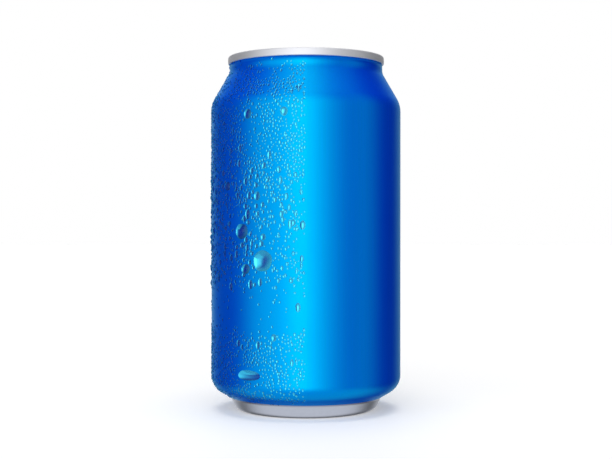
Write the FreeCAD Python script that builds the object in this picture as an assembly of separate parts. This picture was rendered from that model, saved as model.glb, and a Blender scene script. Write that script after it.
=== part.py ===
"""A shut drinks can of 355 ml: a drawn body, a seamed lid and a riveted pull tab.

Millimetres, +Z up. The origin is the centre of the base, on the surface that the can stands on.
The pour opening faces -Y and the tab's finger end faces +Y.
"""
import FreeCAD
import Part
import math
import os
from FreeCAD import Vector

# ---- Body --------------------------------------------------------------------
CAN_HEIGHT = 122.7          # standing surface to the top of the seam
BODY_DIAMETER = 66.04
NECK_DROP = 3.1             # seam's lower edge to where the neck starts to widen
NECK_ARC = 4.5              # hollow curve between neck and shoulder
SHOULDER_ANGLE = 30.0       # shoulder's cone, degrees from vertical
SHOULDER_ARC = 9.2          # round curve between shoulder and wall

# ---- Base --------------------------------------------------------------------
HEEL_HEIGHT = 8.4           # where the wall would meet the lower cone if nothing were rounded
HEEL_ANGLE = 31.3           # lower cone, degrees from horizontal
HEEL_ARC = 6.3
LEG_TOP_DIAMETER = 52.6     # where the lower cone turns down into the bare leg
LEG_ARC = 1.3
LEG_SLANT = 25.0            # outer leg, degrees from vertical
STAND_DIAMETER = 44.5       # middle of the flat ring that the can stands on
STAND_FLAT = 0.5            # width of that ring
NOSE_OUTER_ARC = 2.8
NOSE_INNER_ARC = 1.3
DOME_DIAMETER = 41.0        # the pushed-in dome, where it meets the inner leg
DOME_HEIGHT = 10.5          # top of the dome above the standing surface
DOME_RADIUS = 45.0
DOME_EDGE_ARC = 1.2

# ---- Lid ---------------------------------------------------------------------
SEAM_DIAMETER = 54.5
SEAM_HEIGHT = 2.6
SEAM_THICKNESS = 1.25
SEAM_OVERHANG = 0.6         # how far the seam stands out beyond the neck under it
SEAM_TOP_ARC = 0.5
SEAM_LOWER_ARC = 0.35
LID_GAUGE = 0.3             # sheet thickness
GROOVE_DEPTH = 6.35         # top of the seam to the bottom of the stiffening groove
GROOVE_WIDTH = 1.3
CHUCK_WALL_SLOPE = 13.0     # wall inside the seam, degrees from vertical
GROOVE_ARC = 0.5
PANEL_RISE = 2.3            # bottom of the groove to the flat panel
PANEL_EDGE_ARC = 0.6

# ---- What is pressed into the panel -------------------------------------------
RECESS_DEPTH = 0.5
RECESS_POUR_RADIUS = 14.2   # round end of the recess about the pour opening
RECESS_FINGER_RADIUS = 9.6  # round end behind the tab
POUR_BORDER = 2.4           # panel left between the recess's pour end and the groove
FINGER_BORDER = 3.0         # panel left behind its other end
OPENING_WIDTH = 23.0        # the scored pour opening
OPENING_LENGTH = 16.0
OPENING_BORDER = 1.4        # recess floor left beyond the opening
SCORE_WIDTH = 0.35
SCORE_DEPTH = 0.14
RIVET_BOSS_DIAMETER = 7.4
RIVET_BOSS_HEIGHT = 0.5
RIVET_STEM_DIAMETER = 4.0
RIVET_HEAD_DIAMETER = 5.8
RIVET_HEAD_HEIGHT = 0.75
RIVET_HEAD_ARC = 0.4

# ---- Pull tab ----------------------------------------------------------------
TAB_NOSE_RADIUS = 6.9       # end over the pour opening
TAB_NOSE_Y = -1.4
TAB_FINGER_RADIUS = 7.9     # end that a finger lifts
FINGER_ROOM = 3.9           # recess floor left beyond that end for a fingertip
TAB_RIM_WIDTH = 1.7         # curled edge
TAB_RIM_HEIGHT = 1.3
TAB_RIM_ARC = 0.55
TAB_WEB_THICKNESS = 0.45
TAB_FLOOR_CLEARANCE = 0.25  # curled edge above the recess's floor
FINGER_HOLE_NEAR_Y = 6.0    # edge of the finger hole nearest to the rivet
FINGER_HOLE_CORNER = 2.0
RIVET_CLEARANCE = 0.05      # stem to its hole in the tab

CUT_MARGIN = 1.0            # how far a cutting tool reaches past what it cuts
MATCH = 0.001               # how nearly an edge lies where it is looked for


def slope(degrees):
    return math.tan(math.radians(degrees))


# ---- What follows from the sizes -----------------------------------------------
BODY_RADIUS = BODY_DIAMETER / 2
SEAM_RADIUS = SEAM_DIAMETER / 2
NECK_RADIUS = SEAM_RADIUS - SEAM_OVERHANG
SEAM_INNER_RADIUS = SEAM_RADIUS - SEAM_THICKNESS
GROOVE_OUTER_RADIUS = SEAM_INNER_RADIUS - GROOVE_DEPTH * slope(CHUCK_WALL_SLOPE)
PANEL_RADIUS = GROOVE_OUTER_RADIUS - GROOVE_WIDTH
SEAM_BOTTOM = CAN_HEIGHT - SEAM_HEIGHT
GROOVE_FLOOR = CAN_HEIGHT - GROOVE_DEPTH
PANEL_TOP = GROOVE_FLOOR + PANEL_RISE
RECESS_FLOOR = PANEL_TOP - RECESS_DEPTH
RECESS_POUR_Y = RECESS_POUR_RADIUS + POUR_BORDER - PANEL_RADIUS
RECESS_FINGER_Y = PANEL_RADIUS - FINGER_BORDER - RECESS_FINGER_RADIUS
OPENING_Y = OPENING_LENGTH / 2 + OPENING_BORDER + POUR_BORDER - PANEL_RADIUS
TAB_FINGER_Y = PANEL_RADIUS - FINGER_BORDER - FINGER_ROOM - TAB_FINGER_RADIUS
TAB_BOTTOM = RECESS_FLOOR + TAB_FLOOR_CLEARANCE
WEB_BOTTOM = RECESS_FLOOR + RIVET_BOSS_HEIGHT
WEB_TOP = WEB_BOTTOM + TAB_WEB_THICKNESS


def rounded_outline(corners, place):
    """A closed face from corners (a, b, radius); each corner is rounded by its own tangent arc.

    place turns the flat (a, b) into a point in space.
    """
    edges = []
    joints = []
    count = len(corners)
    for index, (a, b, radius) in enumerate(corners):
        corner = Vector(a, b, 0)
        before = Vector(*corners[index - 1][:2], 0) - corner
        after = Vector(*corners[(index + 1) % count][:2], 0) - corner
        before.normalize()
        after.normalize()
        if radius == 0:
            joints.append((corner, corner, corner))
            continue
        half = before.getAngle(after) / 2
        reach = radius / math.tan(half)
        inward = before + after
        inward.normalize()
        middle = corner + inward * (radius / math.sin(half) - radius)
        joints.append((corner + before * reach, middle, corner + after * reach))
    for index, (start, middle, end) in enumerate(joints):
        if start.distanceToPoint(end) > 0:
            edges.append(Part.Arc(place(start), place(middle), place(end)).toShape())
        following = joints[(index + 1) % count][0]
        edges.append(Part.LineSegment(place(end), place(following)).toShape())
    return Part.Face(Part.Wire(edges))


def turned(corners):
    """A solid of revolution about Z from corners (radius, height, rounding)."""
    face = rounded_outline(corners, lambda flat: Vector(flat.x, 0, flat.y))
    return face.revolve(Vector(0, 0, 0), Vector(0, 0, 1), 360)


def disc(diameter, bottom, top):
    return Part.makeCylinder(diameter / 2, top - bottom, Vector(0, 0, bottom))


def two_circle_plate(near_y, near_radius, far_y, far_radius, bottom, top):
    """A plate whose outline is two circles on the Y axis and their two outer tangents."""
    tilt = math.asin((near_radius - far_radius) / (far_y - near_y))
    across = math.cos(tilt)
    along = math.sin(tilt)
    near = Vector(near_radius * across, near_y + near_radius * along, bottom)
    far = Vector(far_radius * across, far_y + far_radius * along, bottom)
    near_left = Vector(-near.x, near.y, bottom)
    far_left = Vector(-far.x, far.y, bottom)
    edges = [
        Part.Arc(near_left, Vector(0, near_y - near_radius, bottom), near).toShape(),
        Part.LineSegment(near, far).toShape(),
        Part.Arc(far, Vector(0, far_y + far_radius, bottom), far_left).toShape(),
        Part.LineSegment(far_left, near_left).toShape(),
    ]
    return Part.Face(Part.Wire(edges)).extrude(Vector(0, 0, top - bottom))


def oval(width, length, centre_y, bottom, top):
    """An upright oval plate, wider along X than along Y."""
    ellipse = Part.Ellipse(Vector(0, centre_y, bottom), width / 2, length / 2)
    return Part.Face(Part.Wire([ellipse.toShape()])).extrude(Vector(0, 0, top - bottom))


def circle_edges(solid, height, radius):
    """The solid's round edges of one radius at one height."""
    found = []
    for edge in solid.Edges:
        if edge.Degenerated or not isinstance(edge.Curve, Part.Circle):
            continue
        if abs(edge.Curve.Radius - radius) < MATCH and abs(edge.Curve.Center.z - height) < MATCH:
            found.append(edge)
    return found


def make_lid():
    """The seam's hook, the wall inside it, the stiffening groove, the panel and the rivet."""
    wall_step = LID_GAUGE / math.cos(math.radians(CHUCK_WALL_SLOPE))
    wall_at_seam = SEAM_INNER_RADIUS - SEAM_HEIGHT * slope(CHUCK_WALL_SLOPE) + wall_step
    lid = turned([
        (0, PANEL_TOP - LID_GAUGE, 0),
        (PANEL_RADIUS - LID_GAUGE, PANEL_TOP - LID_GAUGE, PANEL_EDGE_ARC - LID_GAUGE),
        (PANEL_RADIUS - LID_GAUGE, GROOVE_FLOOR - LID_GAUGE, GROOVE_ARC + LID_GAUGE),
        (GROOVE_OUTER_RADIUS + wall_step, GROOVE_FLOOR - LID_GAUGE, GROOVE_ARC + LID_GAUGE),
        (wall_at_seam, SEAM_BOTTOM, 0),
        (SEAM_RADIUS, SEAM_BOTTOM, SEAM_LOWER_ARC),
        (SEAM_RADIUS, CAN_HEIGHT, SEAM_TOP_ARC),
        (SEAM_INNER_RADIUS, CAN_HEIGHT, SEAM_TOP_ARC),
        (GROOVE_OUTER_RADIUS, GROOVE_FLOOR, GROOVE_ARC),
        (PANEL_RADIUS, GROOVE_FLOOR, GROOVE_ARC),
        (PANEL_RADIUS, PANEL_TOP, PANEL_EDGE_ARC),
        (0, PANEL_TOP, 0),
    ])
    recess = two_circle_plate(RECESS_POUR_Y, RECESS_POUR_RADIUS, RECESS_FINGER_Y,
                              RECESS_FINGER_RADIUS, RECESS_FLOOR, PANEL_TOP + CUT_MARGIN)
    backing = two_circle_plate(RECESS_POUR_Y, RECESS_POUR_RADIUS + LID_GAUGE, RECESS_FINGER_Y,
                               RECESS_FINGER_RADIUS + LID_GAUGE, RECESS_FLOOR - LID_GAUGE,
                               PANEL_TOP - LID_GAUGE)
    lid = lid.fuse(backing).cut(recess)
    score_floor = RECESS_FLOOR - SCORE_DEPTH
    score = oval(OPENING_WIDTH, OPENING_LENGTH, OPENING_Y, score_floor, RECESS_FLOOR + CUT_MARGIN)
    score = score.cut(oval(OPENING_WIDTH - 2 * SCORE_WIDTH, OPENING_LENGTH - 2 * SCORE_WIDTH,
                           OPENING_Y, score_floor - CUT_MARGIN, RECESS_FLOOR + 2 * CUT_MARGIN))
    lid = lid.cut(score)
    return lid.fuse(make_rivet()).removeSplitter()


def make_rivet():
    """The lid's own metal, pressed up through the tab and headed over its web."""
    boss = disc(RIVET_BOSS_DIAMETER, RECESS_FLOOR - LID_GAUGE, WEB_BOTTOM)
    stem = disc(RIVET_STEM_DIAMETER, WEB_BOTTOM, WEB_TOP)
    head_top = WEB_TOP + RIVET_HEAD_HEIGHT
    head = disc(RIVET_HEAD_DIAMETER, WEB_TOP, head_top)
    head = head.makeFillet(RIVET_HEAD_ARC, circle_edges(head, head_top, RIVET_HEAD_DIAMETER / 2))
    return boss.fuse([stem, head])


def make_body(lid):
    """The drawn wall, shoulder, heel, standing ring and dome, filled up to the lid's underside."""
    neck_end = SEAM_BOTTOM - NECK_DROP
    shoulder = neck_end - (BODY_RADIUS - NECK_RADIUS) / slope(SHOULDER_ANGLE)
    leg_top_radius = LEG_TOP_DIAMETER / 2
    leg_top = HEEL_HEIGHT - (BODY_RADIUS - leg_top_radius) * slope(HEEL_ANGLE)
    leg_foot = leg_top_radius - leg_top * slope(LEG_SLANT)
    dome_radius = DOME_DIAMETER / 2
    dome_centre = DOME_HEIGHT - DOME_RADIUS
    rim_latitude = math.degrees(math.acos(dome_radius / DOME_RADIUS))
    dome_rim = dome_centre + DOME_RADIUS * math.sin(math.radians(rim_latitude))
    inner_foot = (STAND_DIAMETER - STAND_FLAT) / 2 - NOSE_INNER_ARC
    body = turned([
        (0, dome_rim, 0),
        (dome_radius, dome_rim, 0),
        (inner_foot, 0, NOSE_INNER_ARC),
        (leg_foot, 0, NOSE_OUTER_ARC),
        (leg_top_radius, leg_top, LEG_ARC),
        (BODY_RADIUS, HEEL_HEIGHT, HEEL_ARC),
        (BODY_RADIUS, shoulder, SHOULDER_ARC),
        (NECK_RADIUS, neck_end, NECK_ARC),
        (NECK_RADIUS, SEAM_BOTTOM, 0),
        (0, SEAM_BOTTOM, 0),
    ])
    dome = Part.makeSphere(DOME_RADIUS, Vector(0, 0, dome_centre), Vector(0, 0, 1), rim_latitude, 90)
    body = body.cut(dome)
    body = body.makeFillet(DOME_EDGE_ARC, circle_edges(body, dome_rim, dome_radius))
    pieces = body.cut(lid).Solids
    return max(pieces, key=lambda piece: piece.Volume)


def make_tab():
    """The stay-on tab: a curled edge round a thin web, with a finger hole and the rivet's hole."""
    rim_top = TAB_BOTTOM + TAB_RIM_HEIGHT
    tab = two_circle_plate(TAB_NOSE_Y, TAB_NOSE_RADIUS, TAB_FINGER_Y, TAB_FINGER_RADIUS, TAB_BOTTOM, rim_top)
    around = [edge for edge in tab.Edges if abs(edge.BoundBox.ZLength) < TAB_RIM_HEIGHT / 2]
    tab = tab.makeFillet(TAB_RIM_ARC, around)
    inner = (TAB_NOSE_Y, TAB_NOSE_RADIUS - TAB_RIM_WIDTH, TAB_FINGER_Y, TAB_FINGER_RADIUS - TAB_RIM_WIDTH)
    above_web = two_circle_plate(*inner, WEB_TOP, rim_top + CUT_MARGIN)
    below_web = two_circle_plate(*inner, TAB_BOTTOM - CUT_MARGIN, WEB_BOTTOM)
    finger_hole = two_circle_plate(*inner, TAB_BOTTOM - CUT_MARGIN, rim_top + CUT_MARGIN)
    hole_side = 2 * TAB_FINGER_RADIUS
    corners = [(-hole_side, FINGER_HOLE_NEAR_Y, 0), (hole_side, FINGER_HOLE_NEAR_Y, 0),
               (hole_side, 2 * hole_side, 0), (-hole_side, 2 * hole_side, 0)]
    beyond_web = rounded_outline(corners, lambda flat: Vector(flat.x, flat.y, TAB_BOTTOM - CUT_MARGIN))
    finger_hole = finger_hole.common(beyond_web.extrude(Vector(0, 0, TAB_RIM_HEIGHT + 3 * CUT_MARGIN)))
    near_corners = [edge for edge in finger_hole.Edges
                    if edge.BoundBox.ZLength > TAB_RIM_HEIGHT
                    and abs(edge.BoundBox.YMin - FINGER_HOLE_NEAR_Y) < MATCH]
    finger_hole = finger_hole.makeFillet(FINGER_HOLE_CORNER, near_corners)
    rivet_hole = disc(RIVET_STEM_DIAMETER + 2 * RIVET_CLEARANCE, TAB_BOTTOM, rim_top)
    return tab.cut([above_web, below_web, finger_hole, rivet_hole])


def main():
    lid = make_lid()
    nodes = {"can_body": make_body(lid), "can_lid": lid, "pull_tab": make_tab()}
    os.makedirs("parts", exist_ok=True)
    for name, shape in nodes.items():
        shape.exportStep(f"parts/{name}.step")
        box = shape.optimalBoundingBox()
        print(name, len(shape.Solids), shape.isValid(), f"{shape.Volume:.1f} mm3",
              f"{box.XLength:.2f} x {box.YLength:.2f} x {box.ZLength:.2f}, bottom {box.ZMin:.3f}")


main()
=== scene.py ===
import math
import random

import bmesh
import bpy
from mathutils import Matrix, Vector


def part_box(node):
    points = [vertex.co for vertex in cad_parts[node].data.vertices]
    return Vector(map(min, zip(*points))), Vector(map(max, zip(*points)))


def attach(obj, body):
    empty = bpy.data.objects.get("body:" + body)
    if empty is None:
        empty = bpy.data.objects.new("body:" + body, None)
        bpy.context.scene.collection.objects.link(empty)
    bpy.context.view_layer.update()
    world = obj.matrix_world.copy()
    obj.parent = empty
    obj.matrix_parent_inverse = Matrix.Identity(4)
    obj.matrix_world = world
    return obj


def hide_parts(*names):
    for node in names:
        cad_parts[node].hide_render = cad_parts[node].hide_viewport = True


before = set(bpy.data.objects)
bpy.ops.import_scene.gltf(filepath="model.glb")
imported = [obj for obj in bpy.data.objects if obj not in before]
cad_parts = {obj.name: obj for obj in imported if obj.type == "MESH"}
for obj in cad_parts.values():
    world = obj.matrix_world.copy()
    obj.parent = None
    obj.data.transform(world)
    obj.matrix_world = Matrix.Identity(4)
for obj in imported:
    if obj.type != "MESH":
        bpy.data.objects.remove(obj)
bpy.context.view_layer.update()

MM = 0.001

# ---- Drawn body ----------------------------------------------------------------------------
# One cup of aluminium, drawn and ironed thin, necked in at the top and domed in underneath.
# Blue lacquer covers it down to the lower cone; the leg and the dome are bare metal.

body_low, body_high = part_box("can_body")
WALL_RADIUS = body_high.x
SEAM_BOTTOM = body_high.z
NECK_RADIUS = 26.65 * MM
NECK_HEIGHT = 3.1 * MM
NECK_END = SEAM_BOTTOM - NECK_HEIGHT
SHOULDER_LEAN = math.radians(30)
SHOULDER_START = NECK_END - (WALL_RADIUS - NECK_RADIUS) / math.tan(SHOULDER_LEAN)
HEEL_HEIGHT = 8.4 * MM
LOWER_CONE = math.tan(math.radians(31.3))
LEG_TOP_RADIUS = 26.3 * MM
LEG_TOP = HEEL_HEIGHT - (WALL_RADIUS - LEG_TOP_RADIUS) * LOWER_CONE
LEG_LEAN = math.radians(25)
LEG_FOOT_RADIUS = LEG_TOP_RADIUS - LEG_TOP * math.tan(LEG_LEAN)
INNER_FOOT_RADIUS = 20.7 * MM
DOME_EDGE_RADIUS = 20.5 * MM
DOME_RADIUS = 45 * MM
DOME_TOP = 10.5 * MM
DOME_STEPS = 14
LACQUER_EDGE_RADIUS = 27.1 * MM
LACQUER_EDGE = HEEL_HEIGHT - (WALL_RADIUS - LACQUER_EDGE_RADIUS) * LOWER_CONE
CLOSED_UNDER_LID = 115.6 * MM
NECK_INNER_RADII = (24.9 * MM, 26.2 * MM)    # under the lid's groove, and where the seam starts
BODY_SEGMENTS = 288
WELD = 0.002 * MM


def put(tree, kind, inputs=None, **settings):
    """Adds a node; inputs gives a socket's name or number a value, or an output to be joined to."""
    made = tree.nodes.new(kind)
    for name, value in settings.items():
        setattr(made, name, value)
    for socket, value in (inputs or {}).items():
        if isinstance(value, bpy.types.NodeSocket):
            tree.links.new(value, made.inputs[socket])
        else:
            made.inputs[socket].default_value = value
    return made


def maths(tree, operation, *values):
    """A sum on numbers or on the outputs of other nodes."""
    return put(tree, "ShaderNodeMath", dict(enumerate(values)), operation=operation).outputs[0]


def ranged(tree, value, old, new=(0.0, 1.0)):
    """The value moved from the old range to the new one, and held inside it."""
    return put(tree, "ShaderNodeMapRange", {"Value": value, "From Min": old[0], "From Max": old[1],
                                            "To Min": new[0], "To Max": new[1]}).outputs[0]


def rounded(corners, step=math.radians(7)):
    """Points (radius, height) along corners (radius, height, rounding), each rounded by an arc."""
    points = []
    for index, (radius, height, rounding) in enumerate(corners):
        corner = Vector((radius, height))
        if rounding == 0:
            points.append(corner)
            continue
        before = (Vector(corners[index - 1][:2]) - corner).normalized()
        after = (Vector(corners[index + 1][:2]) - corner).normalized()
        half = before.angle(after) / 2
        centre = corner + (before + after).normalized() * (rounding / math.sin(half))
        start = corner + before * (rounding / math.tan(half)) - centre
        end = corner + after * (rounding / math.tan(half)) - centre
        turn = start.angle_signed(end)
        count = max(2, math.ceil(abs(turn) / step))
        for part in range(count + 1):
            angle = -turn * part / count
            cosine, sine = math.cos(angle), math.sin(angle)
            points.append(centre + Vector((start.x * cosine - start.y * sine,
                                           start.x * sine + start.y * cosine)))
    return points


def add_inputs(tree, sockets):
    """Gives a node group its inputs, each with a name, a kind and a starting value."""
    for name, kind, value in sockets:
        socket = tree.interface.new_socket(name, in_out="INPUT", socket_type="NodeSocket" + kind)
        if value is not None:
            socket.default_value = value


def turned_tree():
    """An outline of points in the XZ plane, swept round the Z axis as one welded sheet."""
    tree = bpy.data.node_groups.new("turned sheet", "GeometryNodeTree")
    add_inputs(tree, (("Outline", "Geometry", None), ("Segments", "Int", 64), ("Start", "Float", 0.0),
                      ("Sweep", "Float", math.tau), ("Finish Edge", "Float", 0.0),
                      ("Finish", "Material", None), ("Finish Below Edge", "Material", None)))
    tree.interface.new_socket("Sheet", in_out="OUTPUT", socket_type="NodeSocketGeometry")
    given = put(tree, "NodeGroupInput").outputs
    count = put(tree, "GeometryNodeAttributeDomainSize",
                {"Geometry": given["Outline"]}).outputs["Point Count"]
    columns = maths(tree, "ADD", given["Segments"], 1.0)
    grid = put(tree, "GeometryNodeMeshGrid", {"Vertices X": columns, "Vertices Y": count})
    index = put(tree, "GeometryNodeInputIndex").outputs["Index"]
    row = maths(tree, "MODULO", index, count)
    column = maths(tree, "FLOOR", maths(tree, "DIVIDE", index, count))
    share = maths(tree, "DIVIDE", column, given["Segments"])
    angle = maths(tree, "MULTIPLY_ADD", share, given["Sweep"], given["Start"])
    place = put(tree, "GeometryNodeInputPosition").outputs["Position"]
    sample = put(tree, "GeometryNodeSampleIndex", data_type="FLOAT_VECTOR")
    tree.links.new(given["Outline"], sample.inputs["Geometry"])
    tree.links.new(place, sample.inputs["Value"])
    tree.links.new(row, sample.inputs["Index"])
    outline = put(tree, "ShaderNodeSeparateXYZ", {0: sample.outputs["Value"]}).outputs
    across = maths(tree, "MULTIPLY", maths(tree, "COSINE", angle), outline["X"])
    along = maths(tree, "MULTIPLY", maths(tree, "SINE", angle), outline["X"])
    spot = put(tree, "ShaderNodeCombineXYZ", {"X": across, "Y": along, "Z": outline["Z"]}).outputs[0]
    sheet = put(tree, "GeometryNodeSetPosition", {"Geometry": grid.outputs["Mesh"], "Position": spot})
    welded = put(tree, "GeometryNodeMergeByDistance", {"Geometry": sheet.outputs[0], "Distance": WELD})
    height = put(tree, "ShaderNodeSeparateXYZ", {0: place}).outputs["Z"]
    below = put(tree, "FunctionNodeCompare", {0: height, 1: given["Finish Edge"]}, operation="LESS_THAN")
    painted = put(tree, "GeometryNodeSetMaterial",
                  {"Geometry": welded.outputs[0], "Material": given["Finish"]})
    bared = put(tree, "GeometryNodeSetMaterial",
                {"Geometry": painted.outputs[0], "Selection": below.outputs[0],
                 "Material": given["Finish Below Edge"]})
    smooth = put(tree, "GeometryNodeSetShadeSmooth", {"Geometry": bared.outputs[0]})
    outward = put(tree, "GeometryNodeFlipFaces", {"Mesh": smooth.outputs[0]})
    put(tree, "NodeGroupOutput", {"Sheet": outward.outputs[0]})
    return tree


def grown(name, seed_mesh, tree, values):
    """A plain mesh object: what a node tree makes of seed_mesh with its inputs set by name."""
    holder = bpy.data.objects.new(name, seed_mesh)
    bpy.context.scene.collection.objects.link(holder)
    modifier = holder.modifiers.new("grow", "NODES")
    modifier.node_group = tree
    sockets = {item.name: item.identifier for item in tree.interface.items_tree if item.in_out == "INPUT"}
    for label, value in values.items():
        modifier[sockets[label]] = value
    graph = bpy.context.evaluated_depsgraph_get()
    mesh = bpy.data.meshes.new_from_object(holder.evaluated_get(graph))
    holder.modifiers.remove(modifier)
    holder.data = mesh
    mesh.name = name
    return holder


def outline_mesh(points):
    """The points (radius, height) joined into one line in the XZ plane."""
    mesh = bpy.data.meshes.new("outline")
    edges = [(index, index + 1) for index in range(len(points) - 1)]
    mesh.from_pydata([(point.x, 0, point.y) for point in points], edges, [])
    return mesh


def principled(name, **values):
    """A material with one Principled shader, and its tree; values are for the shader's own sockets."""
    material = bpy.data.materials.new(name)
    material.use_nodes = True
    shader = material.node_tree.nodes["Principled BSDF"]
    for label, value in values.items():
        shader.inputs[label.replace("_", " ")].default_value = value
    return material, material.node_tree, shader


def noise(tree, place, scale, detail=2.0, roughness=0.5):
    """Cloudy noise from 0 to 1 at a place."""
    return put(tree, "ShaderNodeTexNoise", {"Vector": place, "Scale": scale, "Detail": detail,
                                            "Roughness": roughness}).outputs["Fac"]


def blended(tree, share, first, second):
    """One colour turning into another as share goes from 0 to 1."""
    return put(tree, "ShaderNodeMix", {"Factor": share, "A": first, "B": second},
               data_type="RGBA").outputs["Result"]


def finish(tree, shader, colour, rough, height, strength, distance):
    """Joins a colour, a roughness and a fine relief to the shader."""
    relief = put(tree, "ShaderNodeBump", {"Height": height, "Strength": strength, "Distance": distance})
    for socket, value in (("Base Color", colour), ("Roughness", rough), ("Normal", relief.outputs[0])):
        tree.links.new(value, shader.inputs[socket])


def lacquer_material():
    """Clear blue lacquer over ironed metal: upright draw lines, and a pale haze on the chilled half."""
    material, tree, shader = principled("blue lacquer", IOR=2.33, Specular_IOR_Level=1.0,
                                        Specular_Tint=(0.0, 1.0, 1.0, 1.0))
    place = put(tree, "ShaderNodeTexCoord").outputs["Object"]
    drawn = put(tree, "ShaderNodeMapping", {"Vector": place, "Scale": (1.0, 1.0, 0.015)}).outputs[0]
    lines = noise(tree, drawn, 1900.0, 3.0, 0.6)
    cloud = noise(tree, place, 60.0, 2.0)
    side = put(tree, "ShaderNodeSeparateXYZ", {0: place}).outputs["X"]
    chilled = ranged(tree, side, (0.5 * MM, 0.2 * MM))
    tone = ranged(tree, lines, (0.3, 0.7))
    blue = blended(tree, tone, (0.0, 0.032, 0.92, 1.0), (0.0, 0.038, 1.0, 1.0))
    hazed = blended(tree, chilled, blue, (0.0, 0.060, 1.0, 1.0))
    rough = ranged(tree, cloud, (0.0, 1.0), (0.31, 0.37))
    finish(tree, shader, hazed, rough, lines, 0.04, 0.02 * MM)
    return material


def bare_base_material():
    """Bare drawn aluminium under a thin matt wash, with painted shade: darker at the foot of the ring,
    where it stands on the floor.
    """
    material, tree, shader = principled("bare base metal", Metallic=1.0)
    place = put(tree, "ShaderNodeTexCoord").outputs["Object"]
    grain = noise(tree, place, 900.0, 4.0)
    height = put(tree, "ShaderNodeSeparateXYZ", {0: place}).outputs["Z"]
    # painted shade: the colour darkens over the lowest half millimetre, standing in for the shadow where
    # the ring meets the floor
    painted_contact_shade = ranged(tree, height, (0.5 * MM, 0.0))
    plain = blended(tree, grain, (0.66, 0.71, 0.84, 1.0), (0.76, 0.81, 0.94, 1.0))
    shaded_at_foot = blended(tree, painted_contact_shade, plain, (0.45, 0.45, 0.48, 1.0))
    rough = ranged(tree, grain, (0.0, 1.0), (0.30, 0.42))
    finish(tree, shader, shaded_at_foot, rough, grain, 0.05, 0.05 * MM)
    return material


lacquer = lacquer_material()
bare_base = bare_base_material()
turned = turned_tree()

dome_centre = DOME_TOP - DOME_RADIUS
dome_edge_angle = math.asin(DOME_EDGE_RADIUS / DOME_RADIUS)
outer_corners = [    # radius, height and rounding, from the seam down the outside to the dome
    (NECK_RADIUS, SEAM_BOTTOM, 0),
    (NECK_RADIUS, NECK_END, 4.5 * MM),
    (WALL_RADIUS, SHOULDER_START, 9.2 * MM),
    (WALL_RADIUS, HEEL_HEIGHT, 6.3 * MM),
    (LACQUER_EDGE_RADIUS, LACQUER_EDGE, 0),
    (LEG_TOP_RADIUS, LEG_TOP, 1.3 * MM),
    (LEG_FOOT_RADIUS, 0, 2.8 * MM),
    (INNER_FOOT_RADIUS, 0, 1.3 * MM),
    (DOME_EDGE_RADIUS, dome_centre + DOME_RADIUS * math.cos(dome_edge_angle), 1.2 * MM),
]
for step in range(DOME_STEPS - 1, -1, -1):
    angle = dome_edge_angle * step / DOME_STEPS
    outer_corners.append((DOME_RADIUS * math.sin(angle), dome_centre + DOME_RADIUS * math.cos(angle), 0))
under_lid = [Vector((0, CLOSED_UNDER_LID)), Vector((NECK_INNER_RADII[0], CLOSED_UNDER_LID)),
             Vector((NECK_INNER_RADII[1], SEAM_BOTTOM))]
body_outline = under_lid + rounded(outer_corners)
shell = grown("drawn_body", outline_mesh(body_outline), turned,
              {"Segments": BODY_SEGMENTS, "Finish Edge": LACQUER_EDGE, "Finish": lacquer,
               "Finish Below Edge": bare_base})
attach(shell, "root")
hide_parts("can_body")

# ---- Lid -------------------------------------------------------------------------------------
# Aluminium sheet, pressed with a stiffening groove, a shallow recess and a scored opening.
# Its edge is rolled over the can's neck as the double seam, which is the bright ring at the top.

lid_low, lid_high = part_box("can_lid")
LID_GAUGE = 0.3 * MM
LID_SEGMENTS = 320
SEAM_RADIUS = lid_high.x
SEAM_INNER_RADIUS = 26.0 * MM
CHUCK_WALL_LEAN = math.radians(13)
GROOVE_OUTER_RADIUS = 24.534 * MM
GROOVE_FLOOR = lid_low.z + LID_GAUGE
PANEL_RADIUS = 23.234 * MM
PANEL_TOP = GROOVE_FLOOR + 2.3 * MM
PRESSED_RADIUS = 22.4 * MM
PRESSED_STEP = 0.28 * MM
RECESS_DEPTH = 0.5 * MM
RECESS = (-6.634 * MM, 14.2 * MM, 10.634 * MM, 9.6 * MM)    # near centre, its radius, the far ones
RECESS_SIDE = 0.8 * MM
OPENING_Y = -11.434 * MM
OPENING_HALF = (11.5 * MM, 8.0 * MM)
SCORE_LINES = ((0.0, 0.42 * MM, -0.14 * MM), (1.1 * MM, 0.4 * MM, -0.05 * MM),
               (3.0 * MM, 0.95 * MM, 0.34 * MM))    # inset from the opening, half width, height
RIVET_BOSS_RADIUS = 3.7 * MM
RIVET_BOSS_HEIGHT = 0.5 * MM
FINGER_WELL_Y = 15.2 * MM
FINGER_WELL_DEPTH = 0.45 * MM
SIDE_BEAD = (10.2 * MM, 4.5 * MM, 0.25 * MM, 0.8 * MM)    # across, along, height, half width
SIDE_BEAD_SQUEEZE = 0.35


def eased(value, start, end):
    """0 before start, 1 after end, with a soft bend at each."""
    share = min(1, max(0, (value - start) / (end - start)))
    return share * share * (3 - 2 * share)


def depth_in_outline(x, y, near_y, near_radius, far_y, far_radius):
    """How far a point lies inside the outline of two circles and their tangents; negative outside."""
    length = far_y - near_y
    lean = (near_radius - far_radius) / length
    slant = math.sqrt(1 - lean * lean)
    across, along = abs(x), y - near_y
    reach = along * slant - across * lean
    if reach < 0:
        return near_radius - math.hypot(across, along)
    if reach > slant * length:
        return far_radius - math.hypot(across, along - length)
    return near_radius - (across * slant + along * lean)


def depth_in_opening(x, y):
    """About how far a point lies inside the oval opening; negative outside."""
    a, b = OPENING_HALF
    ring = math.hypot(x / a, (y - OPENING_Y) / b)
    slope = math.hypot(x / (a * a), (y - OPENING_Y) / (b * b))
    return (1 - ring) * ring / slope if slope else b


def bead(distance, half_width):
    """A rounded ridge: 1 on the line, 0 from half_width away."""
    return 1 - eased(abs(distance), 0, half_width)


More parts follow.
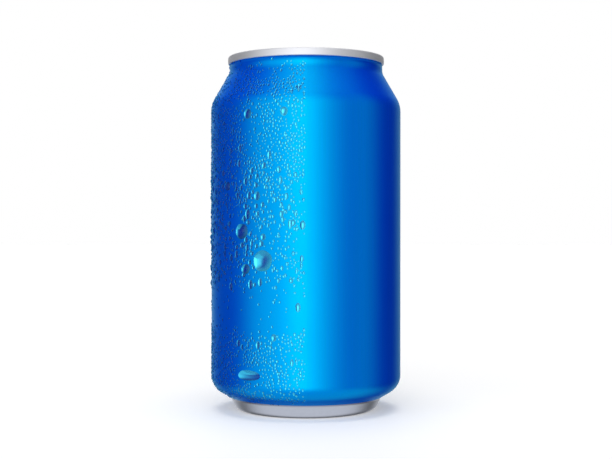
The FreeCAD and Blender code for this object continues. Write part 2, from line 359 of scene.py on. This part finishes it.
def pressing(x, y):
    """How much higher or lower than the flat panel the pressed sheet lies."""
    opening = depth_in_opening(x, y)
    height = -RECESS_DEPTH * eased(depth_in_outline(x, y, *RECESS), 0, RECESS_SIDE)
    for inset, half_width, rise in SCORE_LINES:
        height += rise * bead(opening - inset, half_width)
    height += RIVET_BOSS_HEIGHT * (1 - eased(math.hypot(x, y), RIVET_BOSS_RADIUS - 0.5 * MM,
                                             RIVET_BOSS_RADIUS + 0.3 * MM))
    height -= FINGER_WELL_DEPTH * (1 - eased(math.hypot(x, y - FINGER_WELL_Y), 1.2 * MM, 4.6 * MM))
    bead_x, bead_y, rise, half_width = SIDE_BEAD
    for side in (-1, 1):
        height += rise * bead(math.hypot(x - side * bead_x, (y - bead_y) * SIDE_BEAD_SQUEEZE), half_width)
    return height


def vectors(tree, operation, *values):
    """A vector sum; for SCALE the second value is the factor, and LENGTH gives a number."""
    sockets = (0, "Scale") if operation == "SCALE" else range(len(values))
    made = put(tree, "ShaderNodeVectorMath", dict(zip(sockets, values)), operation=operation)
    return made.outputs["Value" if operation == "LENGTH" else 0]


def lid_metal_material():
    """Rolled aluminium with straight rolling grain, rubbed dull on the outer side of the seam."""
    material, tree, shader = principled("lid metal")
    place = put(tree, "ShaderNodeTexCoord").outputs["Object"]
    rolled = put(tree, "ShaderNodeMapping", {"Vector": place, "Scale": (1.0, 0.03, 1.0)}).outputs[0]
    grain = noise(tree, rolled, 2600.0, 3.0)
    cloud = noise(tree, place, 110.0, 2.0)
    tone = blended(tree, cloud, (0.84, 0.85, 0.91, 1.0), (0.87, 0.88, 0.92, 1.0))
    flat = vectors(tree, "MULTIPLY", place, (1.0, 1.0, 0.0))
    radius = vectors(tree, "LENGTH", flat)
    rubbed = ranged(tree, radius, (SEAM_INNER_RADIUS + 0.4 * MM, SEAM_RADIUS - 0.3 * MM))
    dulled = ranged(tree, rubbed, (0.0, 1.0), (1.0, 0.6))
    tree.links.new(dulled, shader.inputs["Metallic"])
    rough = ranged(tree, grain, (0.0, 1.0), (0.30, 0.42))
    added = ranged(tree, rubbed, (0.0, 1.0), (0.0, 0.16))
    rough = maths(tree, "ADD", rough, added)
    finish(tree, shader, tone, rough, grain, 0.06, 0.03 * MM)
    return material


lid_metal = lid_metal_material()
sheet_step = LID_GAUGE / math.cos(CHUCK_WALL_LEAN)
panel_steps = int(PRESSED_RADIUS / PRESSED_STEP)
upper_panel = [(PRESSED_RADIUS * step / panel_steps, PANEL_TOP, 0) for step in range(panel_steps)]
lower_panel = [(radius, height - LID_GAUGE, 0) for radius, height, arc in reversed(upper_panel)]
lid_corners = upper_panel + [    # down the upper side, round the seam and back along the lower side
    (PANEL_RADIUS, PANEL_TOP, 0.6 * MM),
    (PANEL_RADIUS, GROOVE_FLOOR, 0.5 * MM),
    (GROOVE_OUTER_RADIUS, GROOVE_FLOOR, 0.5 * MM),
    (SEAM_INNER_RADIUS, lid_high.z, 0.55 * MM),
    (SEAM_RADIUS - 0.08 * MM, lid_high.z, 0.6 * MM),
    (SEAM_RADIUS, SEAM_BOTTOM + 0.9 * MM, 2.0 * MM),
    (SEAM_RADIUS - 0.06 * MM, SEAM_BOTTOM, 0.35 * MM),
    (SEAM_INNER_RADIUS - 0.3 * MM, SEAM_BOTTOM, 0),
    (GROOVE_OUTER_RADIUS + sheet_step, GROOVE_FLOOR - LID_GAUGE, 0.8 * MM),
    (PANEL_RADIUS - LID_GAUGE, GROOVE_FLOOR - LID_GAUGE, 0.8 * MM),
    (PANEL_RADIUS - LID_GAUGE, PANEL_TOP - LID_GAUGE, 0.3 * MM),
] + lower_panel
lid = grown("pressed_lid", outline_mesh(rounded(lid_corners)), turned,
            {"Segments": LID_SEGMENTS, "Finish": lid_metal, "Finish Below Edge": lid_metal})
for vertex in lid.data.vertices:
    spot = vertex.co
    if math.hypot(spot.x, spot.y) < PRESSED_RADIUS:
        spot.z += pressing(spot.x, spot.y)
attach(lid, "root")
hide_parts("can_lid")

# ---- Rivet -----------------------------------------------------------------------------------
# The lid's own metal, drawn up through the tab and headed over it by a punch.
# The punch leaves a shallow dimple in the middle of the head.

tab_low, tab_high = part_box("pull_tab")
WEB_TOP = tab_low.z + 0.70 * MM
HEAD_TOP = WEB_TOP + 0.75 * MM
HEAD_RADIUS = 2.9 * MM
STEM_RADIUS = 2.0 * MM
RIVET_SEGMENTS = 64
rivet_corners = [
    (0, HEAD_TOP - 0.14 * MM, 0),
    (0.9 * MM, HEAD_TOP - 0.13 * MM, 0.3 * MM),
    (1.35 * MM, HEAD_TOP, 0.4 * MM),
    (HEAD_RADIUS, HEAD_TOP - 0.05 * MM, 0.35 * MM),
    (HEAD_RADIUS, WEB_TOP, 0.12 * MM),
    (STEM_RADIUS, WEB_TOP, 0),
    (STEM_RADIUS, tab_low.z, 0),
    (0, tab_low.z, 0),
]
rivet = grown("tab_rivet", outline_mesh(rounded(rivet_corners)), turned,
              {"Segments": RIVET_SEGMENTS, "Finish": lid_metal, "Finish Below Edge": lid_metal})
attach(rivet, "root")

# ---- Pull tab --------------------------------------------------------------------------------
# Thicker aluminium, its edge curled under all the way round. The rivet holds a tongue of its web,
# cut free by a curved slot so that the tab can lever up, and the far end has the finger hole.

TAB = (-1.4 * MM, 6.9 * MM, 8.434 * MM, 7.9 * MM)    # near centre, its radius, the far ones
RIM_WIDTH = 1.7 * MM
WEB_BOTTOM = tab_low.z + 0.25 * MM
FINGER_HOLE_NEAR_Y = 6.0 * MM
TONGUE_RADIUS = 4.15 * MM
SLOT_WIDTH = 0.55 * MM
SLOT_HALF_TURN = math.radians(118)
SLOT_STEPS = 40
HOLE_CORNER = 1.8 * MM
HOLE_CORNER_STEPS = 8
CURL_STEPS = 20
CURL_SQUARENESS = 0.8
WEB_INSET = 1.3 * MM
WEB_EDGE = 0.06 * MM


def tab_outline(inset, steps=96):
    """Points (x, y) round the tab's outline, moved in by inset."""
    near_y, near_radius, far_y, far_radius = TAB
    lean = math.asin((near_radius - far_radius) / (far_y - near_y))
    points = []
    for centre, radius, start, sweep in ((near_y, near_radius, -math.pi + lean, math.pi - 2 * lean),
                                         (far_y, far_radius, -lean, math.pi + 2 * lean)):
        for step in range(steps):
            angle = start + sweep * step / (steps - 1)
            points.append(((radius - inset) * math.cos(angle),
                           centre + (radius - inset) * math.sin(angle)))
    return points


def curled_rim(shape):
    """The rolled edge: a flattened round swept along the outline."""
    middle = (tab_high.z + tab_low.z) / 2
    half_height = (tab_high.z - tab_low.z) / 2
    rings = []
    for step in range(CURL_STEPS):
        cosine, sine = math.cos(math.tau * step / CURL_STEPS), math.sin(math.tau * step / CURL_STEPS)
        inset = RIM_WIDTH / 2 * (1 - math.copysign(abs(cosine) ** CURL_SQUARENESS, cosine))
        height = middle + half_height * math.copysign(abs(sine) ** CURL_SQUARENESS, sine)
        rings.append([shape.verts.new((x, y, height)) for x, y in tab_outline(inset)])
    for ring, following in zip(rings, rings[1:] + rings[:1]):
        for index in range(len(ring)):
            after = (index + 1) % len(ring)
            shape.faces.new((ring[index], ring[after], following[after], following[index]))


def plate_with_holes(name, loops, bottom, top, edge):
    """A flat plate between two heights, cut by every loop after the first, its edges eased."""
    drawn = bpy.data.curves.new(name, "CURVE")
    drawn.dimensions = "2D"
    drawn.fill_mode = "BOTH"
    drawn.extrude = (top - bottom) / 2 - edge
    drawn.bevel_depth = edge
    drawn.bevel_resolution = 2
    drawn.offset = -edge
    for loop in loops:
        spline = drawn.splines.new("POLY")
        spline.points.add(len(loop) - 1)
        for point, (x, y) in zip(spline.points, loop):
            point.co = (x, y, 0, 1)
        spline.use_cyclic_u = True
    holder = bpy.data.objects.new(name, drawn)
    bpy.context.scene.collection.objects.link(holder)
    graph = bpy.context.evaluated_depsgraph_get()
    mesh = bpy.data.meshes.new_from_object(holder.evaluated_get(graph))
    bpy.data.objects.remove(holder)
    for vertex in mesh.vertices:
        vertex.co.z += (bottom + top) / 2
    return mesh


def slot_loop():
    """The slot round the tongue: an arc on the finger side of the rivet, out and back."""
    points = []
    for radius, way in ((TONGUE_RADIUS + SLOT_WIDTH / 2, 1), (TONGUE_RADIUS - SLOT_WIDTH / 2, -1)):
        for step in range(SLOT_STEPS + 1):
            angle = math.pi / 2 + way * SLOT_HALF_TURN * (2 * step / SLOT_STEPS - 1)
            points.append((radius * math.cos(angle), radius * math.sin(angle)))
    return points


def finger_hole_loop():
    """The far part of the curl's inner outline, closed by a straight side with rounded corners."""
    inner = [(x, y) for x, y in tab_outline(RIM_WIDTH - 0.1 * MM, 64)
             if y > FINGER_HOLE_NEAR_Y + 1.6 * MM]
    centre_x = max(x for x, y in inner) - 0.15 * MM - HOLE_CORNER
    right = []
    for step in range(HOLE_CORNER_STEPS + 1):
        angle = -math.pi / 2 - math.pi / 2 * step / HOLE_CORNER_STEPS
        right.append((centre_x - HOLE_CORNER * math.cos(angle),
                      FINGER_HOLE_NEAR_Y + HOLE_CORNER + HOLE_CORNER * math.sin(angle)))
    far = sorted(inner, key=lambda point: math.atan2(point[1] - TAB[2], point[0]))
    left = [(-x, y) for x, y in reversed(right)]
    return right + far + left


def tab_metal_material():
    """Thicker, glossier sheet with rolling grain across the tab and faint spots."""
    material, tree, shader = principled("tab metal", Metallic=1.0)
    place = put(tree, "ShaderNodeTexCoord").outputs["Object"]
    rolled = put(tree, "ShaderNodeMapping", {"Vector": place, "Scale": (0.04, 1.0, 1.0)}).outputs[0]
    grain = noise(tree, rolled, 2200.0, 3.0)
    spots = noise(tree, place, 420.0, 2.0)
    tone = blended(tree, spots, (0.80, 0.81, 0.84, 1.0), (0.90, 0.91, 0.93, 1.0))
    rough = ranged(tree, grain, (0.0, 1.0), (0.16, 0.30))
    finish(tree, shader, tone, rough, grain, 0.05, 0.03 * MM)
    return material


tab_metal = tab_metal_material()
web = plate_with_holes("tab web", [tab_outline(WEB_INSET), slot_loop(), finger_hole_loop()],
                       WEB_BOTTOM, WEB_TOP, WEB_EDGE)
shape = bmesh.new()
shape.from_mesh(web)
bmesh.ops.remove_doubles(shape, verts=shape.verts, dist=WELD)
curled_rim(shape)
bmesh.ops.recalc_face_normals(shape, faces=shape.faces)
tab_mesh = bpy.data.meshes.new("pull_tab_pressed")
shape.to_mesh(tab_mesh)
shape.free()
tab_mesh.materials.append(tab_metal)
tab_mesh.shade_smooth()
tab_mesh.set_sharp_from_angle(angle=math.radians(50))
tab = bpy.data.objects.new("pull_tab_pressed", tab_mesh)
bpy.context.scene.collection.objects.link(tab)
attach(tab, "root")
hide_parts("pull_tab")

# ---- Condensation ----------------------------------------------------------------------------
# Water on the chilled half of the wall, where X is below zero: fine close drops high and low on
# the can, larger ones at half height, and a few that have run together.

WET_START = math.radians(90.6)
WET_SWEEP = math.radians(178.8)
WET_SEGMENTS = 120
MOST_DROPS = 4.0e6        # to a square metre, before their spacing thins them
CLUMP_SCALE = 130.0
STRETCH_SEED = 40.0       # added to a seed, so that a drop's height is drawn apart from its width
DROP_CLEARANCE = 0.02     # between a drop's flat back and the wall, in widths of the drop
LARGE_CLEARANCE = 0.012   # the same for a large drop, in millimetres
LENS_TURN = 0.85          # share of the skin's slope that the lacquer under a drop leans the other way


def finer(points, longest):
    """The same line with more points on it, none further apart than longest."""
    line = [points[0]]
    for point in points[1:]:
        count = max(1, math.ceil((point - line[-1]).length / longest))
        start = line[-1].copy()
        line += [start.lerp(point, (step + 1) / count) for step in range(count)]
    return line


def between(value, pairs):
    """Straight-line reading of (place, amount) pairs, given from low to high."""
    if value <= pairs[0][0]:
        return pairs[0][1]
    for (low, first), (high, second) in zip(pairs, pairs[1:]):
        if value <= high:
            return first + (second - first) * (value - low) / (high - low)
    return pairs[-1][1]


def drops_tree():
    """Drops scattered over a sheet at a least spacing, upright and sized at random, their outlines made
    uneven.
    """
    tree = bpy.data.node_groups.new("scattered drops", "GeometryNodeTree")
    add_inputs(tree, (("Wet Sheet", "Geometry", None), ("Drop Shape", "Object", None),
                      ("Spacing", "Float", 1.3 * MM), ("Seed", "Int", 1),
                      ("Narrowest", "Float", 0.5 * MM), ("Widest", "Float", 1.0 * MM),
                      ("Tallest", "Float", 2.0), ("Wobble", "Float", 0.1 * MM),
                      ("Wobble Size", "Float", 600.0), ("Water", "Material", None)))
    tree.interface.new_socket("Drops", in_out="OUTPUT", socket_type="NodeSocketGeometry")
    given = put(tree, "NodeGroupInput").outputs
    share = put(tree, "GeometryNodeInputNamedAttribute", {"Name": "share"},
                data_type="FLOAT").outputs["Attribute"]
    clumps = put(tree, "ShaderNodeTexNoise", {"Scale": CLUMP_SCALE, "Detail": 1.0}).outputs["Fac"]
    clumps = ranged(tree, clumps, (0.35, 0.6), (0.45, 1.0))
    wanted = maths(tree, "MULTIPLY", share, clumps)
    spread = put(tree, "GeometryNodeDistributePointsOnFaces",
                 {"Mesh": given["Wet Sheet"], "Distance Min": given["Spacing"],
                  "Density Max": MOST_DROPS, "Density Factor": wanted, "Seed": given["Seed"]},
                 distribute_method="POISSON")
    facing = spread.outputs["Normal"]
    marked = put(tree, "GeometryNodeStoreNamedAttribute",
                 {"Geometry": spread.outputs["Points"], "Name": "wall_way", "Value": facing},
                 data_type="FLOAT_VECTOR", domain="POINT")
    outward = put(tree, "FunctionNodeAlignRotationToVector", {"Vector": facing}, axis="Z")
    upright = put(tree, "FunctionNodeAlignRotationToVector",
                  {"Rotation": outward.outputs[0], "Vector": (0.0, 0.0, 1.0)}, axis="Y", pivot_axis="Z")
    chance = put(tree, "FunctionNodeRandomValue", {"Seed": given["Seed"]},
                 data_type="FLOAT").outputs["Value"]
    skewed = maths(tree, "POWER", chance, 2.0)
    width = ranged(tree, skewed, (0.0, 1.0), (given["Narrowest"], given["Widest"]))
    second_seed = maths(tree, "ADD", given["Seed"], STRETCH_SEED)
    stretch = put(tree, "FunctionNodeRandomValue",
                  {"Min": 1.0, "Max": given["Tallest"], "Seed": second_seed},
                  data_type="FLOAT").outputs["Value"]
    tall = maths(tree, "MULTIPLY", width, stretch)
    size = put(tree, "ShaderNodeCombineXYZ", {"X": width, "Y": tall, "Z": width}).outputs[0]
    form = put(tree, "GeometryNodeObjectInfo", {"Object": given["Drop Shape"]}).outputs["Geometry"]
    placed = put(tree, "GeometryNodeInstanceOnPoints", {"Points": marked.outputs[0], "Instance": form,
                                                        "Rotation": upright.outputs[0], "Scale": size})
    made = put(tree, "GeometryNodeRealizeInstances", {"Geometry": placed.outputs[0]})
    uneven = put(tree, "ShaderNodeTexNoise",
                 {"Scale": given["Wobble Size"], "Detail": 0.0}).outputs["Color"]
    uneven = vectors(tree, "ADD", uneven, (-0.5, -0.5, -0.5))
    uneven = vectors(tree, "SCALE", uneven, given["Wobble"])
    wall_way = put(tree, "GeometryNodeInputNamedAttribute", {"Name": "wall_way"},
                   data_type="FLOAT_VECTOR").outputs["Attribute"]
    standing = vectors(tree, "PROJECT", uneven, wall_way)
    sideways = vectors(tree, "SUBTRACT", uneven, standing)
    bent = put(tree, "GeometryNodeSetPosition", {"Geometry": made.outputs[0], "Offset": sideways})
    clear = put(tree, "GeometryNodeSetMaterial",
                {"Geometry": bent.outputs[0], "Material": given["Water"]})
    smooth = put(tree, "GeometryNodeSetShadeSmooth", {"Geometry": clear.outputs[0]})
    put(tree, "NodeGroupOutput", {"Drops": smooth.outputs[0]})
    return tree


def drop_material():
    """Water lying on the lacquer. Its skin is the clear coat. The lacquer under it is seen through a
    lens, so its slope is a part of the skin's slope, turned about the way the wall faces. The drops also
    give off a faint blue glow: painted light that brightens their blue."""
    # painted light: the blue emission makes the drops glow faintly, brightening their blue
    material, tree, shader = principled(
        "water on lacquer", IOR=3.9, Specular_IOR_Level=1.0, Specular_Tint=(0.09, 0.95, 1.0, 1.0),
        Coat_Weight=0.4, Coat_IOR=1.333, Coat_Roughness=0.04,
        Emission_Color=(0.0, 0.06, 1.0, 1.0), Emission_Strength=0.15)
    place = put(tree, "ShaderNodeTexCoord").outputs["Object"]
    patch = noise(tree, place, 500.0)
    blue = blended(tree, patch, (0.0, 0.035, 0.88, 1.0), (0.0, 0.05, 1.0, 1.0))
    tree.links.new(blue, shader.inputs["Base Color"])
    rough = ranged(tree, patch, (0.0, 1.0), (0.10, 0.18))
    tree.links.new(rough, shader.inputs["Roughness"])
    skin = put(tree, "ShaderNodeNewGeometry").outputs["Normal"]
    wall_way = put(tree, "ShaderNodeAttribute", attribute_name="wall_way").outputs["Vector"]
    straight = vectors(tree, "PROJECT", skin, wall_way)
    slope = vectors(tree, "SUBTRACT", skin, straight)
    slope = vectors(tree, "SCALE", slope, LENS_TURN)
    turned_slope = vectors(tree, "SUBTRACT", straight, slope)
    turned_slope = vectors(tree, "NORMALIZE", turned_slope)
    tree.links.new(turned_slope, shader.inputs["Normal"])
    return material


water = drop_material()
scattered = drops_tree()
wet_outline = finer(rounded(outer_corners[:5]), 0.8 * MM)


def drop_shape(segments, rows, fullness):
    """A lens one unit wide, lying on its flat back, which stands just clear of the wall."""
    steps = [math.pi / 2 * row / rows for row in range(rows + 1)]
    outline = [Vector((0.5 * math.sin(step), fullness * math.cos(step) ** 2)) for step in steps]
    outline.append(Vector((0, 0)))
    for point in outline:
        point.y += DROP_CLEARANCE
    return grown("drop shape", outline_mesh(outline), turned, {"Segments": segments})


def clear_of_large(height, around):
    """0 where a large drop lies, 1 elsewhere."""
    for drop_height, drop_around, width, tall, *rest in LARGE_DROPS:
        across = math.radians(around - drop_around) * WALL_RADIUS / MM
        if math.hypot(across / (width / 2 + 0.5), (height - drop_height) / (tall / 2 + 0.7)) < 1:
            return 0
    return 1


def scatter(name, segments, rows, fullness, shares, **sizes):
    """One piece of scattered drops. shares says how thickly they lie, by height in millimetres;
    sizes are the node group's other inputs."""
    sheet = grown("wet sheet", outline_mesh(wet_outline), turned,
                  {"Segments": WET_SEGMENTS, "Start": WET_START, "Sweep": WET_SWEEP})
    share = sheet.data.attributes.new("share", "FLOAT", "POINT")
    for vertex in sheet.data.vertices:
        height, around = vertex.co.z / MM, math.degrees(math.atan2(vertex.co.x, -vertex.co.y))
        share.data[vertex.index].value = between(height, shares) * clear_of_large(height, around)
    form = drop_shape(segments, rows, fullness)
    values = {"Drop Shape": form, "Water": water}
    values.update({label.replace("_", " "): value for label, value in sizes.items()})
    drops = grown(name, sheet.data, scattered, values)
    bpy.data.objects.remove(form)
    bpy.data.objects.remove(sheet)
    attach(drops, "root")


def resting_drop(shape, height, around, width, tall, fullness, sag, wobble=0.08, rows=9, segments=40):
    """One large drop on the straight wall: height and around (degrees from the front) place its
    middle, and sag fills out its foot. Its rows run from the top of the skin out to the edge, and
    back under it."""
    seed = random.Random(int(height * 10) + int(around * 7))
    phases = [(lobe, seed.uniform(0, math.tau), seed.uniform(0.3, 1.0) / lobe) for lobe in (2, 3, 4, 5)]
    rings = []
    for row in range(2 * rows + 1):
        share = math.sin(math.pi / 2 * row / rows)
        lift = max(0, math.cos(math.pi / 2 * row / rows)) ** 2
        ring = []
        for segment in range(segments):
            angle = math.tau * segment / segments
            outward = 1 + wobble * sum(size * math.sin(lobe * angle + turn)
                                       for lobe, turn, size in phases)
            across = width / 2 * share * outward * math.cos(angle)
            up = tall / 2 * share * outward * math.sin(angle)
            thick = fullness * min(width, tall) * lift * (1 - sag * up / tall) + LARGE_CLEARANCE
            place = math.radians(around) + across / (WALL_RADIUS / MM)
            radius = WALL_RADIUS / MM + thick
            ring.append(Vector((math.sin(place) * radius, -math.cos(place) * radius, height + up)) * MM)
            if row in (0, 2 * rows):
                break
        rings.append([shape.verts.new(spot) for spot in ring])
    for index in range(segments):
        after = (index + 1) % segments
        shape.faces.new((rings[0][0], rings[1][index], rings[1][after]))
        for inner, outer in zip(rings[1:-2], rings[2:-1]):
            shape.faces.new((inner[index], outer[index], outer[after], inner[after]))
        shape.faces.new((rings[-2][index], rings[-1][0], rings[-2][after]))


LARGE_DROPS = (    # height and degrees from the front, width and height of the drop, fullness, sag
    (62.2, -40, 5.2, 5.2, 0.31, 0.3), (52.6, -25.5, 7.0, 6.8, 0.28, 0.35),
    (49.8, -37, 3.4, 3.4, 0.33, 0.2), (100.8, -35.5, 2.9, 3.4, 0.33, 0.2),
    (101.2, -12.5, 2.5, 3.0, 0.31, 0.2), (77.2, -52.5, 3.0, 3.0, 0.33, 0.2),
    (81.6, -57, 1.6, 2.4, 0.33, 0.1), (74, -34.5, 1.6, 2.6, 0.33, 0.1),
    (73.8, -29, 2.2, 3.0, 0.33, 0.2), (67.8, -35.5, 2.0, 3.4, 0.33, 0.2),
    (78.9, -14.5, 1.4, 2.6, 0.33, 0.1), (64.3, -1.9, 1.9, 3.0, 0.31, 0.1),
    (64.6, -9, 1.4, 3.2, 0.31, 0.1), (67.9, -14, 1.4, 2.2, 0.33, 0.1),
    (44.8, -33.5, 1.8, 3.2, 0.33, 0.2), (45.6, -27, 1.5, 2.8, 0.33, 0.2),
    (37.6, -4.5, 1.7, 3.0, 0.31, 0.1), (25.2, -42.5, 1.6, 2.4, 0.33, 0.2),
    (25, -28.5, 1.5, 2.6, 0.33, 0.2), (27.6, -18.5, 1.8, 2.4, 0.33, 0.2),
    (84.6, -42, 1.4, 2.6, 0.33, 0.1), (14.8, -35, 8.8, 3.6, 0.24, 0.5),
    (46.3, -63, 1.6, 2.8, 0.33, 0.2), (43.8, -49, 1.8, 2.8, 0.33, 0.2),
    (60.4, -25, 1.9, 2.2, 0.33, 0.2), (70, -9.5, 1.1, 2.2, 0.33, 0.1),
    (19.6, -8, 1.2, 2.4, 0.33, 0.1))

shape = bmesh.new()
for drop in LARGE_DROPS:
    resting_drop(shape, *drop)
bmesh.ops.recalc_face_normals(shape, faces=shape.faces)
large_mesh = bpy.data.meshes.new("large_drops")
shape.to_mesh(large_mesh)
shape.free()
large_mesh.materials.append(water)
large_mesh.shade_smooth()
wall_ways = large_mesh.attributes.new("wall_way", "FLOAT_VECTOR", "POINT")
for vertex in large_mesh.vertices:
    wall_ways.data[vertex.index].vector = Vector((vertex.co.x, vertex.co.y, 0)).normalized()
large = bpy.data.objects.new("large_drops", large_mesh)
bpy.context.scene.collection.objects.link(large)
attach(large, "root")

scatter("fine_drops", 8, 2, 0.3,
        [(5.5, 0.1), (7, 0.9), (27, 1.0), (31, 0.08), (41, 0.1), (45, 0.5), (70, 0.6), (78, 1.0),
         (112, 1.0), (116, 0.7), (119.5, 0.15)],
        Spacing=0.9 * MM, Seed=3, Narrowest=0.5 * MM, Widest=0.85 * MM, Tallest=1.8, Wobble=0.12 * MM,
        Wobble_Size=900.0)
scatter("small_drops", 12, 4, 0.32,
        [(8, 0.1), (25, 0.12), (28, 0.0), (42, 0.0), (46, 0.7), (80, 0.9), (86, 0.25), (100, 0.05)],
        Spacing=2.1 * MM, Seed=8, Narrowest=0.8 * MM, Widest=1.6 * MM, Tallest=1.9, Wobble=0.25 * MM,
        Wobble_Size=500.0)

# ---- Studio ----------------------------------------------------------------------------------
# A pale floor, soft light from the front left and a bright sweep behind, with dim sides.

CAMERA_DISTANCE = 427.4 * MM
CAMERA_HEIGHT = 65.6 * MM
CAMERA_DIP = math.radians(0.4)
CAMERA_LENS = 71.7
FLOOR_RADIUS = 3.0
FLOOR_SEGMENTS = 128
FLOOR_GLOW = 0.26         # evens out the light on the floor
CEILING = (4.8, 1.1)      # how bright the room is overhead: for matt surfaces, and mirrored
CEILING_STARTS = (math.radians(68), math.radians(73))
WALLS_DIM = (math.radians(18), math.radians(52))      # the walls grow dimmer between these heights
DIMMED = 0.6
WALLS_END = (math.radians(-24), math.radians(-34))    # and pass into the ground between these
GROUND = (0.02, 0.85)     # how bright the ground is, behind the can and in front of it
GROUND_TURNS = (-0.65, -0.1)
BACKDROP_LIGHT = 1.0
BRIGHTEST = 3.1
ROUND_THE_ROOM = (    # degrees, 0 in front of the can and growing to the right, and the light there
    (-180, 1.20), (-158, 1.0), (-136, 0.14), (-95, 0.02), (-78, 0.30), (-60, 1.05), (-44, 1.30),
    (-26, 1.60), (-14, 2.75), (-5, 3.10), (5, 2.40), (15, 1.60), (30, 0.88), (52, 0.30),
    (75, 0.56), (88, 0.30), (102, 0.0), (134, 0.02), (150, 0.55), (168, 1.0), (180, 1.20))

camera_data = bpy.data.cameras.new("camera")
camera_data.lens = CAMERA_LENS
camera_data.sensor_width = 36
camera_data.clip_start = 0.01
camera_data.clip_end = 20
camera = bpy.data.objects.new("camera", camera_data)
camera.location = (0, -CAMERA_DISTANCE, CAMERA_HEIGHT)
camera.rotation_euler = (math.pi / 2 - CAMERA_DIP, 0, 0)
bpy.context.scene.collection.objects.link(camera)
bpy.context.scene.camera = camera

floor_material = principled(
    "floor", Base_Color=(0.93, 0.93, 0.93, 1.0), Roughness=0.6, Specular_IOR_Level=0.05,
    Emission_Color=(1.0, 1.0, 1.0, 1.0), Emission_Strength=FLOOR_GLOW)[0]
floor_mesh = bpy.data.meshes.new("floor")
shape = bmesh.new()
bmesh.ops.create_circle(shape, cap_ends=True, segments=FLOOR_SEGMENTS, radius=FLOOR_RADIUS)
shape.to_mesh(floor_mesh)
shape.free()
floor_mesh.materials.append(floor_material)
floor = bpy.data.objects.new("floor", floor_mesh)
bpy.context.scene.collection.objects.link(floor)
floor.visible_glossy = False
floor.visible_diffuse = False
floor.visible_transmission = False

world = bpy.data.worlds.new("studio")
world.use_nodes = True
bpy.context.scene.world = world
room = world.node_tree
room.nodes.clear()
direction = put(room, "ShaderNodeTexCoord").outputs["Generated"]
parts = put(room, "ShaderNodeSeparateXYZ", {0: direction}).outputs
ahead = maths(room, "MULTIPLY", parts["Y"], -1.0)
turn = maths(room, "ARCTAN2", parts["X"], ahead)
share = ranged(room, turn, (-math.pi, math.pi))
panels = put(room, "ShaderNodeValToRGB", {"Fac": share})
while len(panels.color_ramp.elements) < len(ROUND_THE_ROOM):
    panels.color_ramp.elements.new(0.5)
for element, (degrees, light) in zip(panels.color_ramp.elements, ROUND_THE_ROOM):
    element.position = (degrees + 180) / 360
    element.color = (light / BRIGHTEST, light / BRIGHTEST, light / BRIGHTEST, 1)
walls = maths(room, "MULTIPLY", panels.outputs["Color"], BRIGHTEST)
tilt = maths(room, "ARCSINE", parts["Z"])
below = ranged(room, tilt, WALLS_END)
ground = ranged(room, ahead, GROUND_TURNS, GROUND)
above = ranged(room, tilt, CEILING_STARTS)
dimming = ranged(room, tilt, WALLS_DIM, (1.0, DIMMED))
walls = maths(room, "MULTIPLY", walls, dimming)
lower = put(room, "ShaderNodeMix", {"Factor": below, "A": walls, "B": ground},
            data_type="FLOAT").outputs["Result"]
paths = put(room, "ShaderNodeLightPath").outputs
ceiling = ranged(room, paths["Is Glossy Ray"], (0.0, 1.0), CEILING)
light = put(room, "ShaderNodeMix", {"Factor": above, "A": lower, "B": ceiling},
            data_type="FLOAT").outputs["Result"]
around = put(room, "ShaderNodeBackground", {"Strength": light}).outputs[0]
backdrop = put(room, "ShaderNodeBackground",
               {"Color": (1.0, 1.0, 1.0, 1), "Strength": BACKDROP_LIGHT}).outputs[0]
mixed = put(room, "ShaderNodeMixShader",
            {0: paths["Is Camera Ray"], 1: around, 2: backdrop}).outputs[0]
put(room, "ShaderNodeOutputWorld", {"Surface": mixed})

bpy.context.scene.view_settings.view_transform = "Standard"
bpy.context.scene.view_settings.look = "None"
